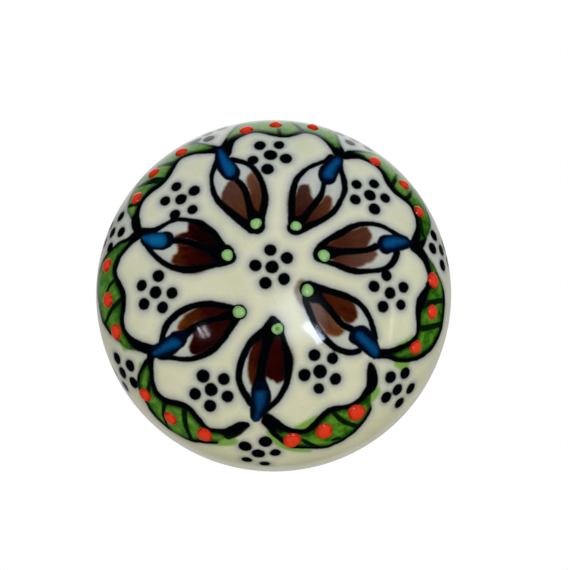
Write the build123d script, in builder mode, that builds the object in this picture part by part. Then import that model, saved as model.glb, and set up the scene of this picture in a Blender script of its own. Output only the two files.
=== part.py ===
"""Glazed ceramic cabinet knob with a threaded brass insert set into its foot.

The knob's axis lies along Y. The mounting face is the plane Y = 0, centred on the origin,
and the decorated face looks towards -Y. All sizes are in millimetres.
"""
import os
from math import asin, cos, sin, sqrt

from build123d import *

# Ceramic body: a shallow domed face, a full rounded rim and a waisted foot
KNOB_DIAMETER = 40.0
FACE_RADIUS = 34.0
RIM_RADIUS = 8.4
RIM_LAND = 1.6
UNDERSIDE_RADIUS = 10.0
WAIST_RADIUS = 4.0
WAIST_DIAMETER = 17.0
FOOT_DIAMETER = 21.0
FOOT_HEIGHT = 0.9
FOOT_EDGE_RADIUS = 0.4

# Brass insert for an M4 fixing screw
THREAD_BORE_DIAMETER = 3.3
THREAD_LEAD_IN = 0.45
FLANGE_DIAMETER = 11.0
FLANGE_THICKNESS = 1.2
FLANGE_EDGE_BREAK = 0.2
BARREL_DIAMETER = 7.0
BARREL_LENGTH = 12.0
GROOVE_COUNT = 3
GROOVE_WIDTH = 1.0
GROOVE_DEPTH = 0.5

# Fit of the insert in the ceramic
SEAT_RECESS = 0.3
BOND_GAP = 0.15
SCREW_RUN_OUT = 2.0
MOUTH_EDGE_BREAK = 0.3

knob_radius = KNOB_DIAMETER / 2
waist_radius_at_neck = WAIST_DIAMETER / 2
foot_radius = FOOT_DIAMETER / 2

# The waist is one hollow arc. It runs from the foot's edge in to the neck and out to the underside.
waist_center = Vector(
    waist_radius_at_neck + WAIST_RADIUS,
    -FOOT_HEIGHT - sqrt(WAIST_RADIUS**2 - (waist_radius_at_neck + WAIST_RADIUS - foot_radius) ** 2),
)
neck_point = Vector(waist_radius_at_neck, waist_center.Y)

# The underside arc touches the waist arc from outside and the rim's straight land from inside
underside_x = knob_radius - UNDERSIDE_RADIUS
centers_apart = UNDERSIDE_RADIUS + WAIST_RADIUS
underside_center = Vector(
    underside_x, waist_center.Y - sqrt(centers_apart**2 - (waist_center.X - underside_x) ** 2)
)
underside_tangent = underside_center + (waist_center - underside_center) * (UNDERSIDE_RADIUS / centers_apart)
underside_start = Vector(knob_radius, underside_center.Y)

# The rim arc meets the face arc where both have the same normal
rim_center = Vector(knob_radius - RIM_RADIUS, underside_center.Y - RIM_LAND)
rim_start = Vector(knob_radius, rim_center.Y)
face_angle = asin((knob_radius - RIM_RADIUS) / (FACE_RADIUS - RIM_RADIUS))
face_center_y = rim_center.Y + (FACE_RADIUS - RIM_RADIUS) * cos(face_angle)
face_edge = Vector(FACE_RADIUS * sin(face_angle), face_center_y - FACE_RADIUS * cos(face_angle))
face_pole = Vector(0, face_center_y - FACE_RADIUS)
projection = -face_pole.Y

# Stepped hole in the foot, and the insert's own levels along the axis
flange_face_y = -SEAT_RECESS
ledge_y = flange_face_y - FLANGE_THICKNESS
barrel_end_y = ledge_y - BARREL_LENGTH
hole_bottom_y = barrel_end_y - SCREW_RUN_OUT
counterbore_radius = FLANGE_DIAMETER / 2 + BOND_GAP
hole_radius = BARREL_DIAMETER / 2 + BOND_GAP


def arc_point(center, radius, start, end):
    """Return the point halfway along the shorter arc between two points of a circle."""
    middle = (start + end) * 0.5 - center
    return center + middle.normalized() * radius


# Ceramic knob: one turned and glazed piece
with BuildPart() as ceramic_knob:
    with BuildSketch(Plane.XY):
        with BuildLine():
            face_center = Vector(0, face_center_y)
            ThreePointArc(face_pole, arc_point(face_center, FACE_RADIUS, face_pole, face_edge), face_edge)
            ThreePointArc(face_edge, arc_point(rim_center, RIM_RADIUS, face_edge, rim_start), rim_start)
            Line(rim_start, underside_start)
            ThreePointArc(
                underside_start,
                arc_point(underside_center, UNDERSIDE_RADIUS, underside_start, underside_tangent),
                underside_tangent,
            )
            ThreePointArc(underside_tangent, neck_point, (foot_radius, -FOOT_HEIGHT))
            Polyline((foot_radius, -FOOT_HEIGHT), (foot_radius, 0), (0, 0), face_pole)
        make_face()
    revolve(axis=Axis.Y)
    seat_face = faces().sort_by(Axis.Y)[-1]
    fillet(seat_face.edges(), radius=FOOT_EDGE_RADIUS)
    with BuildSketch(Plane.XY):
        with BuildLine():
            Polyline(
                (0, 0),
                (counterbore_radius + MOUTH_EDGE_BREAK, 0),
                (counterbore_radius, -MOUTH_EDGE_BREAK),
                (counterbore_radius, ledge_y),
                (hole_radius, ledge_y),
                (hole_radius, hole_bottom_y),
                (0, hole_bottom_y),
                close=True,
            )
        make_face()
    revolve(axis=Axis.Y, mode=Mode.SUBTRACT)
ceramic_knob.part.label = "ceramic_knob"

# Threaded insert: a flanged brass sleeve with grooves round its barrel for the bond
with BuildPart() as threaded_insert:
    with BuildSketch(Plane.XY):
        with BuildLine():
            Polyline(
                (THREAD_BORE_DIAMETER / 2 + THREAD_LEAD_IN, flange_face_y),
                (FLANGE_DIAMETER / 2 - FLANGE_EDGE_BREAK, flange_face_y),
                (FLANGE_DIAMETER / 2, flange_face_y - FLANGE_EDGE_BREAK),
                (FLANGE_DIAMETER / 2, ledge_y),
                (BARREL_DIAMETER / 2, ledge_y),
                (BARREL_DIAMETER / 2, barrel_end_y),
                (THREAD_BORE_DIAMETER / 2, barrel_end_y),
                (THREAD_BORE_DIAMETER / 2, flange_face_y - THREAD_LEAD_IN),
                close=True,
            )
        make_face()
    revolve(axis=Axis.Y)
    groove_spacing = BARREL_LENGTH / (GROOVE_COUNT + 1)
    with BuildSketch(Plane.XY):
        for number in range(GROOVE_COUNT):
            groove_y = ledge_y - groove_spacing * (number + 1)
            with Locations((BARREL_DIAMETER / 2, groove_y)):
                Rectangle(2 * GROOVE_DEPTH, GROOVE_WIDTH)
    revolve(axis=Axis.Y, mode=Mode.SUBTRACT)
threaded_insert.part.label = "threaded_insert"

os.makedirs("parts", exist_ok=True)
export_step(ceramic_knob.part, "parts/ceramic_knob.step")
export_step(threaded_insert.part, "parts/threaded_insert.step")
print(f"projection {projection:.2f} mm, dome height {projection + rim_center.Y:.2f} mm")
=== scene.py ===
"""Looks of the painted ceramic knob: glaze, brushed flowers, enamel dots, bare foot and tapped brass insert.

The ornament is painted as brush strokes. Each stroke follows a few points of the photograph, with the brush's
width in millimetres. A point is a pixel, whose place on the knob is where the camera's ray through it meets
the face. Towards the rim it is an angle round the axis and a reach over the face, worked out beforehand from
pixels where the photograph shows them. Each paint layer is stored on the face's points as the distance to its
nearest edge in millimetres, below zero inside the paint.
"""

from collections import namedtuple
from math import asin, cos, pi, radians, sin, sqrt, tau

import bpy
import numpy as np
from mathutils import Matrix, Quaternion, Vector
from mathutils.bvhtree import BVHTree


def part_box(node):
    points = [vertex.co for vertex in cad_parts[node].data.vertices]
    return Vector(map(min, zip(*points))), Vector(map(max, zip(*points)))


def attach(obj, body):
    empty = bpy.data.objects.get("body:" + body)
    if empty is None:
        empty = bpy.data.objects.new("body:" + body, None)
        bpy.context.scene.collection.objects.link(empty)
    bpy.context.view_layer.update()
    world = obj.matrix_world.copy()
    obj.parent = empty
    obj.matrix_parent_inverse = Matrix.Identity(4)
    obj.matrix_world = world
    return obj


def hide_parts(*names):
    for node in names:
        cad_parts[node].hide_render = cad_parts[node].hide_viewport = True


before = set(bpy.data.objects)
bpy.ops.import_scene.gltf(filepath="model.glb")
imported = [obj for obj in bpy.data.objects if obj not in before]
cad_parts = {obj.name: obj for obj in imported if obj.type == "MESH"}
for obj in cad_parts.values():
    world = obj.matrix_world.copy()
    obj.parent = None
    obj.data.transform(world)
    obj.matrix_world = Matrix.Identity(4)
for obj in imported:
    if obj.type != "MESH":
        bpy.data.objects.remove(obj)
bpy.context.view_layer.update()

# Sizes in millimetres
METRE = 0.001
knob_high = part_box("ceramic_knob")[1] / METRE
insert_low, insert_high = (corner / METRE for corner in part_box("threaded_insert"))
KNOB_RADIUS = knob_high.x
FACE_RADIUS = 34.0
RIM_RADIUS = 8.4
RIM_LAND = 1.6
UNDERSIDE_RADIUS = 10.0
WAIST_RADIUS = 4.0
WAIST_DIAMETER = 17.0
FOOT_DIAMETER = 21.0
FOOT_HEIGHT = 0.9
FOOT_EDGE_RADIUS = 0.4
MOUTH_EDGE_BREAK = 0.3
BOND_GAP = 0.15
SCREW_RUN_OUT = 2.0
FLANGE_RADIUS = insert_high.x
FLANGE_THICKNESS = 1.2
FLANGE_EDGE_BREAK = 0.2
BARREL_RADIUS = 3.5
GROOVE_COUNT = 3
GROOVE_WIDTH = 1.0
GROOVE_DEPTH = 0.5
THREAD_MINOR_RADIUS = 1.65
THREAD_PITCH = 0.7
THREAD_DEPTH = 0.36
THREAD_LEAD_IN = 0.45

# The photograph's frame and the camera that took it
IMAGE_WIDTH, IMAGE_HEIGHT = 568, 570
FOCAL_PIXELS = 2127.0
SENSOR_WIDTH = 36.0
CAMERA_TILT = radians(13.6)
CAMERA_DISTANCE = 240.0
AIM_RIGHT, AIM_UP = 1.155, 0.85
CLIP_START, CLIP_END = 0.01, 10.0

# Pixels where the photograph shows reflections: a window's soft glow, the sun on it, two small lamps and
# a faint strip
WINDOW_GLINT = (299, 316)
SUN_GLINT = (314.3, 332.3)
LAMP_GLINTS = [(201.5, 332.5), (206, 331)]
STRIP_GLINT = (392, 325)

Bud = namedtuple("Bud", "dot cap outlines stem petals calyx rim glow bleeds")
Petal = namedtuple("Petal", "outline tip_tone end_tone tip_milk end_milk")
Swag = namedtuple("Swag", "inner outer leaves smears berries thinness")

# Buds. The enamel dot on the tip and the ink cap under it are (x, y, diameter), the outlines, the stem and
# the bleeds brush strokes of (x, y, width), and the petals, calyx and rim closed outlines of (x, y).
# A petal's outline starts at its tip, its tone goes from near-black maroon at 0 to orange brown at 1, and
# its veil and glint is the share of a pale veil over it, partly the paint's own milkiness and partly a
# painted reflection of the window and sky on the glaze. The glow lightens the calyx, and the bleeds are brown
# that ran past the outlines
UPPER_LEFT_BUD = Bud(
    dot=(256, 223.5, 1.4),
    cap=(256.5, 226, 1.9),
    outlines=[
        [(252, 229.5, 1.0), (240, 220, 0.95), (230, 212, 0.8), (221.5, 204.5, 0.7), (216, 197.5, 0.6),
         (213, 190, 0.55), (211.7, 181, 0.42), (212.2, 174, 0.5), (214.5, 167, 0.6), (217, 161, 0.6)],
        [(261, 224, 0.8), (262.5, 212, 0.8), (265, 201, 0.78), (264, 190, 0.7), (260.7, 179.5, 0.62),
         (255, 170.2, 0.62), (248, 164.3, 0.58), (240, 161.4, 0.65), (232, 159.7, 0.75)],
    ],
    stem=[(255.5, 219, 1.7), (251, 211, 0.95), (247.8, 200, 0.72), (245, 190, 0.72), (241, 184, 0.7),
          (237, 180.5, 0.6)],
    petals=[
        Petal([(249, 221), (240, 217), (231, 211.5), (224, 206.5), (220.5, 202), (221, 196.5), (222, 191.5),
               (224.5, 186.5), (228, 182), (231.5, 179.5), (237, 181), (242, 188), (246, 198), (248.5, 208),
               (250.5, 216)], 0.64, 0.42, 0.0, 0.22),
        Petal([(256, 213.5), (252.5, 208), (251, 200), (249.5, 192), (247, 186), (245.7, 181), (246.5, 177),
               (249, 174), (252, 172.5), (255, 174), (258, 179), (261, 186), (262.5, 195), (262.5, 203),
               (260, 210)], 0.58, 0.82, 0.0, 0.2),
    ],
    calyx=[(219.5, 149), (223.5, 152), (228, 158.5), (233, 164), (235.5, 168.5), (234.5, 173.5),
           (230.5, 176.5), (226.5, 175.5), (223.5, 170.5), (221, 165), (219.5, 159), (218.3, 153)],
    rim=[(216, 147), (214.6, 155), (214.8, 162), (216.5, 168), (220.5, 175), (226, 179.8), (233, 181.3),
         (238.5, 178.5), (240.8, 172), (238.8, 167), (234.5, 162.5), (229.5, 156.5), (226, 151), (224, 146)],
    glow=0.22,
    bleeds=[],
)
UPPER_RIGHT_BUD = Bud(
    dot=(296, 226, 1.3),
    cap=(295, 227.5, 1.75),
    outlines=[
        [(292, 228, 0.85), (291.8, 214, 0.8), (292, 202, 0.78), (293.2, 190, 0.74), (296.3, 180, 0.64),
         (302.6, 172.4, 0.55), (310.4, 166.8, 0.5), (319.2, 163.2, 0.5), (326, 160.8, 0.6), (331, 157, 0.8)],
        [(298, 231, 0.9), (308, 226.3, 0.85), (317, 222.6, 0.65), (325, 218.3, 0.6), (333.8, 211.4, 0.62),
         (340.4, 201, 0.55), (344.8, 190.2, 0.62), (344, 180, 0.62), (341.5, 172, 0.6), (340, 165, 0.6)],
    ],
    stem=[(298, 222.5, 1.5), (304.2, 217.3, 0.9), (310, 210, 0.75), (316, 202.3, 0.75), (320.5, 196, 0.65),
          (322.7, 190, 0.55), (324, 184, 0.55)],
    petals=[
        Petal([(297.5, 218.5), (294.5, 212), (294.3, 203), (295.5, 195), (297.5, 188.5), (300.5, 185),
               (305, 184), (309, 185.5), (310.8, 190), (311.8, 196), (314, 200), (309.5, 207),
               (303.5, 213.5)],
              0.42, 0.36, 0.0, 0.12),
        Petal([(304, 223.5), (308, 215.5), (315, 207.5), (321, 200.5), (325, 196.3), (329, 195.2),
               (332, 197.5), (332.8, 202), (331.8, 207.5), (329, 212.5), (322, 218), (313, 223)],
              0.5, 0.64, 0.0, 0.1),
    ],
    calyx=[(336, 157.5), (331, 162.5), (326.5, 167), (323, 172), (323.5, 177), (328, 179), (333, 177.5),
           (335, 173), (337, 168), (340.5, 163.5), (340.5, 159)],
    rim=[(330, 158), (323.5, 163), (319.3, 168), (317.8, 174), (319.5, 180), (323.5, 184), (329, 185),
         (334.5, 183), (337.2, 177.5), (339.8, 172), (342.5, 165.5), (343.5, 159), (338, 155.5)],
    glow=0.15,
    bleeds=[[(288.6, 212, 0.3), (288.6, 203, 0.35), (289.6, 194, 0.3)]],
)
RIGHT_BUD = Bud(
    dot=(324, 255.5, 1.48),
    cap=(321.5, 254.7, 1.85),
    outlines=[
        [(317.5, 250.5, 0.75), (322, 245.2, 0.75), (330, 239, 0.7), (340, 233.5, 0.78), (350, 227.8, 0.72),
         (360, 224.3, 0.57), (370, 223.9, 0.52), (380, 225.5, 0.48), (390, 230.3, 0.47), (399, 236, 0.6),
         (406, 239.5, 0.7)],
        [(322, 261, 0.5), (330, 262.5, 0.55), (340, 266.2, 0.65), (350, 270, 0.7), (360, 271.6, 0.68),
         (370, 271, 0.55), (380, 270, 0.52), (388, 266.8, 0.65), (394, 260.5, 0.75), (397, 252.5, 0.75)],
    ],
    stem=[(328, 252.5, 1.6), (338, 252, 0.95), (351, 251.3, 0.72), (361, 250.8, 0.65), (369, 249.2, 0.62),
          (376, 246.5, 0.8)],
    petals=[
        Petal([(327, 248.5), (334, 241.5), (341, 236.5), (349, 231.5), (357, 227.5), (363, 226), (368, 228.5),
               (371.5, 233), (372, 238), (369.5, 243.5), (366, 248), (358, 249.5), (345, 249.5),
               (335, 249.5)],
              0.52, 0.58, 0.0, 0.1),
        Petal([(331, 254.5), (336, 260), (343, 265), (350, 267.5), (357, 268.2), (362, 266.8), (367, 264),
               (372, 262), (376, 258), (377.3, 254), (375.5, 250.5), (371, 249.5), (363, 252.5), (350, 253.5),
               (340, 254)], 0.55, 0.66, 0.0, 0.3),
    ],
    calyx=[(382.5, 242.5), (385, 238.7), (391.5, 237), (399, 237.5), (405, 239.2), (408.5, 242), (405, 244.6),
           (398, 246.3), (391.5, 248.3), (386.5, 248.7), (383.5, 246.5)],
    rim=[(376.7, 245.5), (377.5, 240), (380, 236), (385, 234.5), (391, 234.5), (397, 234), (403, 236),
         (413, 241.5), (411, 247), (403, 250.6), (393, 252.8), (387.5, 254.6), (383, 253.7), (379.5, 250.5)],
    glow=0.1,
    bleeds=[],
)
LOWER_RIGHT_BUD = Bud(
    dot=(307.5, 290.5, 1.48),
    cap=(307.6, 289.3, 1.75),
    outlines=[
        [(309, 283.5, 0.6), (320, 288.2, 0.8), (330, 291.2, 0.72), (340, 294.3, 0.76), (350, 298.2, 0.7),
         (358.5, 303, 0.6), (365, 309.8, 0.58), (370, 319, 0.57), (373.5, 330, 0.62), (375, 338, 0.65)],
        [(304.5, 293.5, 0.55), (305.3, 300.5, 0.7), (309, 310, 0.68), (313.1, 320, 0.66), (318.8, 330, 0.66),
         (325.2, 338.8, 0.72), (332.8, 346, 0.7), (341.5, 350.6, 0.62), (351, 352.4, 0.66),
         (359, 350.8, 0.62)],
    ],
    stem=[(312.5, 294, 1.9), (321.5, 300.5, 0.95), (331.5, 311.7, 0.8), (340, 322.3, 0.72),
          (345.5, 326.5, 0.65), (351, 328.5, 0.7)],
    petals=[
        Petal([(318, 292), (327, 292.5), (336, 295), (344, 297.5), (350, 300.5), (355, 304.5), (357.5, 310.5),
               (357.8, 316.5), (355.5, 321.5), (350.5, 323.8), (344.5, 322.5), (339, 317), (332, 309),
               (325, 301)], 0.56, 0.44, 0.0, 0.0),
        Petal([(314, 299), (311.5, 305), (313, 312), (316, 319), (320, 326), (325, 333), (330, 336.3),
               (337, 337.2), (342, 335), (344.5, 331), (341, 327), (334, 319), (327, 310.5), (321, 302.5)],
              0.7, 0.74, 0.24, 0.0),
    ],
    calyx=[(355.5, 334), (358.5, 331.5), (362.5, 332.5), (367, 336.5), (372, 341), (377, 346), (379, 351.5),
           (377, 356), (373, 355.5), (368, 350), (363, 345), (358, 340.5), (355.8, 337)],
    rim=[(349.5, 333), (352.5, 327.5), (358, 325), (364.5, 325.5), (369.5, 329), (374, 334), (378, 342),
         (380.8, 350), (379.5, 356), (375, 359.5), (370, 357), (364, 353), (357, 347), (350.5, 342.5),
         (348.5, 338.5)],
    glow=0.13,
    bleeds=[[(301.5, 284, 1.0), (299.5, 290, 1.1), (301.5, 298, 1.0), (304, 305, 0.6)]],
)
LOWEST_BUD = Bud(
    dot=(277.5, 328.8, 1.38),
    cap=(276.8, 328.5, 1.55),
    outlines=[
        [(273, 319.2, 0.6), (268, 327.5, 0.9), (260, 334.5, 0.9), (251.8, 341.5, 0.8), (246, 350.5, 0.72),
         (242, 360, 0.74), (239.5, 370, 0.72), (239.2, 380, 0.68), (242.3, 389.5, 0.72), (246.5, 396.5, 0.75),
         (250.5, 403, 0.7)],
        [(274.5, 319, 0.6), (279, 325, 0.6), (282.5, 338, 0.6), (286.2, 350, 0.8), (288.2, 360, 1.02),
         (288.3, 370, 0.92), (287.2, 380, 0.68), (283.5, 390.5, 0.63), (277.5, 399.5, 0.58),
         (271.5, 405.5, 0.6), (264, 410, 0.8)],
    ],
    stem=[(273, 320, 0.9), (270.3, 328, 1.45), (268.2, 336, 1.4), (266.5, 346, 1.0), (264.5, 353, 0.95),
          (262.5, 361, 0.97), (261.2, 370, 0.95), (260.5, 378, 1.1), (260.3, 383, 1.4)],
    petals=[
        Petal([(262, 335), (257, 341.5), (252.5, 349), (249.5, 356.5), (247.6, 364), (247.2, 371),
               (248.2, 378), (250, 384), (252.5, 386), (256, 383), (260, 376), (260, 362), (262, 350),
               (265, 340)],
              0.32, 0.6, 0.0, 0.0),
        Petal([(275, 334), (271, 343), (268.5, 352), (265.5, 360), (263.5, 369), (264.5, 377), (268, 378.5),
               (272.5, 381.5), (277, 383.5), (282, 382.5), (286.5, 379), (287, 368), (286, 356), (284, 346),
               (281, 338)], 0.24, 0.2, 0.0, 0.0),
    ],
    calyx=[(254.7, 392), (259.8, 390.3), (264.5, 390.3), (267, 393), (266.2, 399), (264.8, 404.5),
           (262.5, 409), (260, 413.5), (259, 419), (256.2, 421.3), (253.3, 420), (255, 414.5), (255.7, 409),
           (254.8, 402.5), (254.3, 396.5)],
    rim=[(252, 385), (250.7, 391), (250.5, 398), (250.2, 405), (249.3, 412), (250.5, 418.5), (254, 422),
         (258.5, 422), (262, 418.5), (266.5, 414), (268.3, 409), (270.8, 403.5), (271.7, 398), (271, 392),
         (268.8, 386), (265.5, 381.5), (257, 381.5)],
    glow=0.0,
    bleeds=[[(291, 350, 0.3), (292.3, 359, 0.35), (292, 367, 0.3)]],
)
LOWER_LEFT_BUD = Bud(
    dot=(239, 312, 1.5),
    cap=(239.2, 312, 1.62),
    outlines=[
        [(235, 308, 0.4), (228, 306.8, 0.6), (219, 305.3, 0.68), (209.5, 304, 0.7), (199.5, 304.7, 0.66),
         (189.5, 307.3, 0.7), (180, 312, 0.73), (170.8, 319.8, 0.76), (165.3, 328, 0.7), (162.7, 336, 0.65),
         (161.6, 343, 0.7)],
        [(242, 314, 0.6), (236, 319.5, 0.75), (229.3, 330, 0.66), (222.3, 340, 0.66), (212.5, 350, 0.67),
         (200.5, 356.4, 0.62), (190, 358.9, 0.52), (180, 359.1, 0.5), (170, 357.3, 0.55), (160, 357.3, 0.6)],
    ],
    stem=[(234, 314, 1.35), (221, 317.6, 0.8), (210, 320.5, 0.72), (200.5, 323.6, 0.68), (194, 327, 0.7),
          (189, 331, 0.85), (184, 335, 1.0)],
    petals=[
        Petal([(233, 311), (222, 307.5), (212, 305.5), (203, 305.5), (195.5, 308.3), (188.5, 312),
               (183, 316.5), (179.2, 321.5), (177, 327), (178, 331.5), (184, 331.5), (189.5, 328.5),
               (195, 323.5), (203, 320.5), (213, 317.5), (224, 315)], 0.25, 0.78, 0.0, 0.0),
        Petal([(231, 318), (219, 322), (208, 323.5), (199, 326.5), (193, 331), (192, 336.5), (190, 342),
               (188.8, 348), (190.5, 353), (196, 355.5), (204, 353.5), (211.5, 348.5), (218.5, 341.5),
               (224.5, 333), (229.5, 325)], 0.2, 0.14, 0.0, 0.0),
    ],
    calyx=[(152.5, 353), (158, 348), (163, 344), (168, 340), (172.5, 337.3), (176.5, 338.3), (180, 341),
           (181, 344), (178, 347), (173.5, 349.3), (167, 351.8), (160, 354.3), (154.5, 355)],
    rim=[(150.5, 352), (151.5, 346), (158.5, 342), (164, 338), (169, 335), (172, 332), (177.5, 330.3),
         (184, 330.3), (188, 333), (187.3, 340.5), (184.5, 345.8), (180, 349.5), (176, 353.5), (171, 356.5),
         (162, 357.7), (153, 358.2)],
    glow=0.12,
    bleeds=[],
)
LEFT_BUD = Bud(
    dot=(227.3, 255, 1.42),
    cap=(229, 257.2, 1.6),
    outlines=[
        [(227.5, 250.5, 0.5), (224.6, 247.7, 0.65), (220.2, 242.2, 0.7), (214.8, 235.2, 0.8),
         (207.6, 229.2, 0.9), (198.5, 223, 0.8), (190, 220.5, 0.52), (180, 219.4, 0.48), (171, 221.4, 0.48),
         (163, 225.6, 0.5), (155, 230.3, 0.72), (148, 232, 1.0), (142, 232.3, 1.1)],
        [(231, 261.5, 0.55), (224, 263.3, 0.6), (213, 265.3, 0.6), (203, 267.7, 0.75), (193, 269.3, 0.85),
         (183, 269.5, 0.8), (174.5, 267.7, 0.68), (167, 264.8, 0.6), (159.5, 259.8, 0.55), (152.5, 253, 0.55),
         (147, 246, 0.55), (143, 241, 0.6)],
    ],
    stem=[(224, 254.3, 2.3), (211, 250.2, 1.25), (200, 246.3, 0.85), (190, 242.6, 0.78), (181, 240.8, 0.65),
          (174, 240.5, 0.7)],
    petals=[
        Petal([(222, 246), (214, 238), (207, 230), (198, 223.5), (190.5, 220.5), (187.5, 222), (187.3, 228),
               (186.5, 231.5), (180, 233), (174.5, 236), (174.5, 239), (183, 239.5), (193, 240.5), (203, 245),
               (213, 248.5)], -0.12, 0.4, 0.0, 0.0),
        Petal([(222, 256), (212, 253), (202, 249), (193, 245.5), (184, 242.5), (176, 242.5), (176.5, 246),
               (177.5, 249.5), (176.5, 252.5), (172.8, 255.5), (171, 259.5), (171.5, 264), (179, 267),
               (190, 268), (202, 266.5), (213, 263.5)], 0.1, 0.66, 0.0, 0.0),
    ],
    calyx=[(142.4, 237), (148.7, 235), (156, 233.8), (162, 233.8), (165.5, 237), (166.6, 241.2), (165, 245),
           (161, 246.8), (155, 246.8), (150, 245), (145, 241.3)],
    rim=[(140.5, 238), (147, 233), (155, 232), (162.5, 231.7), (167, 231), (171.2, 232), (173.7, 235.3),
         (174, 240.3), (172.8, 244.5), (169.5, 247.8), (163.5, 250), (157, 250.3), (151, 249.5), (146, 246.5),
         (142, 242.3)],
    glow=0.4,
    bleeds=[[(184, 272, 0.3), (194, 272.4, 0.4), (204, 270.6, 0.3)]],
)
BUDS = [
    UPPER_LEFT_BUD, UPPER_RIGHT_BUD, RIGHT_BUD, LOWER_RIGHT_BUD, LOWEST_BUD, LOWER_LEFT_BUD, LEFT_BUD,
]

# Swags of the garland. The inner line, leaves and shadows, and smears are strokes of (x, y, width), and the
# berries (x, y, diameter). Among the dark strokes, two are painted shadows under berries and the rest are
# leaves. The outer line turns over the rim, so it is in the knob's own measure: the angle round the axis in
# degrees, the reach over the face from its centre and the width. Below zero, the brush is lifted.
# The paleness of the green wash, on the upper swags partly a painted reflection of the sky, is given at the
# start and the end of the swag, below zero where it is darker
TOP_SWAG = Swag(
    inner=[(227.5, 153.5, 0.9), (229.5, 144.5, 0.9), (234, 139, 0.75), (241, 135.3, 0.6), (249, 132.8, 0.42),
           (257, 131.9, 0.36), (265, 132.9, 0.36), (272, 134.6, 0.38), (279, 136, 0.4), (287, 136.4, 0.38),
           (295, 134.4, 0.4), (302, 132.3, 0.42), (309, 132.8, 0.38), (316.5, 135, 0.28),
           (323.5, 139.3, 0.32), (330, 145.6, 0.45), (334.8, 150.5, 0.75), (338.5, 154.5, 1.1)],
    outer=[(110.3, 16.7, 0.7), (108.8, 17.5, 0.35), (107.2, 18.5, -0.1), (105, 19.6, -0.2), (102, 21, -0.2),
           (96, 22.4, 0.2), (88, 22.9, 0.3), (80, 22.9, 0.3), (74, 22.6, 0.1), (71, 21.7, -0.2),
           (68.5, 20.7, -0.2), (66.7, 19.7, -0.2), (64.2, 18.1, 0.0), (62.7, 17.3, 0.5)],
    leaves=[
        [(303, 131, 0.5), (297, 126, 0.55), (291, 121.5, 0.4)],
        # A painted shadow under the middle berry
        [(279.5, 134, 0.5), (279, 129.5, 0.5)],
    ],
    smears=[[(232, 133, 0.7), (228.5, 135.5, 0.6)]],
    berries=[(246.5, 130, 1.7), (275.5, 125, 1.5), (312.8, 127.5, 1.5)],
    thinness=(0.2, 0.1),
)
UPPER_RIGHT_SWAG = Swag(
    inner=[(336.5, 149.5, 0.6), (340, 153.5, 0.9), (345, 156.3, 0.9), (350, 156.3, 0.8),
           (357.5, 156.5, 0.8), (365, 159.3, 0.55), (373, 163.8, 0.42), (379.5, 168.5, 0.5),
           (384.5, 175, 0.62), (388.5, 183, 0.7), (394, 190.3, 0.7), (400, 195.7, 0.65), (406, 200.3, 0.57),
           (411, 205.5, 0.48), (414.5, 212.5, 0.45), (417.3, 220.5, 0.52), (418, 230, 0.68),
           (416.3, 238, 0.95), (414, 245, 1.15)],
    outer=[(60, 17.5, 0.6), (58, 18.6, 0.2), (55, 20.0, -0.2), (52, 21.4, -0.2), (46, 22.8, 0.2),
           (38, 23.2, 0.1), (29, 22, -0.1), (22, 20.9, -0.1), (17, 19.2, -0.2), (13, 17.4, 0.9)],
    leaves=[
        [(346, 153.3, 0.6), (355, 153.5, 0.6), (363, 156, 0.5)],
        [(391.5, 186, 0.5), (394.5, 181, 0.6), (396.5, 174.5, 0.35)],
        [(406.5, 198, 0.6), (409.5, 196, 0.55), (411.8, 190.5, 0.3)],
        [(420, 215, 0.35), (421, 222, 0.4), (422, 230, 0.6), (423.5, 236, 0.5)],
    ],
    smears=[],
    berries=[(375, 161.3, 1.65), (404, 184.7, 1.6), (419, 211.7, 1.55)],
    thinness=(0.3, -0.08),
)
RIGHT_SWAG = Swag(
    inner=[(414, 247, 1.1), (417, 250.5, 0.95), (421.8, 255.3, 0.88), (425.5, 261, 0.82), (427.8, 267, 0.75),
           (429, 273, 0.6), (429.5, 279, 0.55), (428.5, 285, 0.6), (426.3, 290.5, 0.75), (423.7, 295.5, 0.95),
           (421.2, 300.5, 1.15), (419.8, 305.5, 1.05), (418.5, 311, 0.72), (418.2, 319, 0.58),
           (418.3, 328, 0.48), (416.8, 335, 0.42), (412, 341.5, 0.5), (405.5, 345.5, 0.55),
           (399, 348.5, 0.62), (392, 351, 0.65), (385, 353, 0.9), (379, 354, 1.1)],
    outer=[(11.5, 17.2, 0.9), (8, 18.2, 0.2), (6, 18.9, 0.0), (3, 19.6, -0.1), (0, 20.3, 0.1),
           (-3, 20.75, 0.4), (-6, 21.05, 0.5), (-10, 21.25, 0.5), (-14, 21.45, 0.52), (-18, 21.3, 0.55),
           (-23, 20.7, 0.52), (-28, 19.5, 0.48), (-31, 18.5, 0.45), (-34, 17.2, 0.45), (-35.5, 16, 0.6),
           (-37, 15.1, 0.8)],
    leaves=[
        # A painted shadow under the first berry
        [(427, 284.5, 0.5), (432, 286.8, 0.5), (437, 286, 0.4)],
        [(423, 304.5, 1.0), (431, 302.8, 0.75), (442, 300.3, 0.6)],
        [(421, 328.5, 0.75), (431, 326.8, 0.75), (440, 324.5, 0.7)],
    ],
    smears=[
        [(398, 363.5, 1.1), (403, 364.5, 1.3), (407, 362.5, 1.0)],
        [(398, 346, 0.5), (406, 342.6, 0.6), (413, 337, 0.5)],
    ],
    berries=[(433.3, 280.3, 1.85), (432.5, 312, 1.72), (416, 347.5, 1.68)],
    thinness=(0.0, -0.02),
)
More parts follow.
